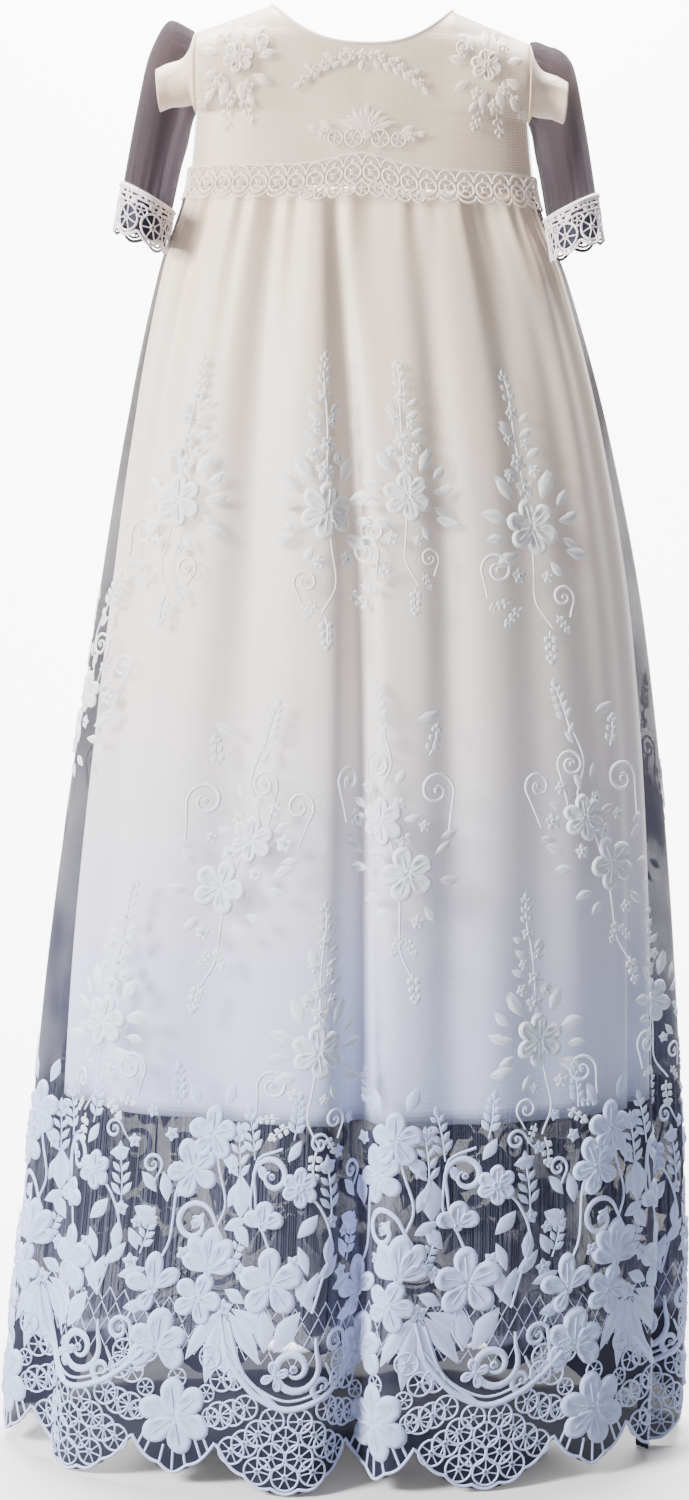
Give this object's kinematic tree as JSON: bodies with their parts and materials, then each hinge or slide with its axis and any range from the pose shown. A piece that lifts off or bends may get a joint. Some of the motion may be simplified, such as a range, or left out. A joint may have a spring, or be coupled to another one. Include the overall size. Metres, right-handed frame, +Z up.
{
  "type": "christening gown",
  "caption": "Long christening gown: satin bodice with sheer sleeves, and an embroidered tulle overskirt with a scalloped, cut lace hem over a satin lining skirt.",
  "frame": {"origin": "midway between the two points where the shoulder seams meet the neckline, where the worn gown is held up", "axes": "+Z up along the gown's length, -Y out of the front, +X to the wearer's left"},
  "size_m": [0.4623, 0.2564, 0.9451],
  "materials": {
    "satin": "soft satin sheen",
    "tulle": "sheer fine net with flat embroidery",
    "guipure": "matt corded lace",
    "button_satin": "satin covered"
  },
  "bodies": {
    "root": {"bodice_lining_front": "satin", "bodice_lining_back_left": "satin", "bodice_lining_back_right": "satin", "bodice_lace_front": "tulle", "bodice_lace_back_left": "tulle", "bodice_lace_back_right": "tulle", "shoulder_applique_left": "guipure", "shoulder_applique_right": "guipure", "neck_applique": "guipure", "waist_applique": "guipure", "waist_trim_front": "guipure", "waist_trim_back_left": "guipure", "waist_trim_back_right": "guipure", "sleeve_left": "tulle", "sleeve_right": "tulle", "lining_cap_left": "satin", "lining_cap_right": "satin", "cuff_left_front": "guipure", "cuff_left_back": "guipure", "cuff_right_front": "guipure", "cuff_right_back": "guipure", "lining_skirt_front": "satin", "lining_skirt_back": "satin", "overskirt_front": "tulle", "overskirt_back": "tulle", "button_1": "button_satin", "button_2": "button_satin", "button_3": "button_satin", "button_4": "button_satin"}
  },
  "joints": []
}
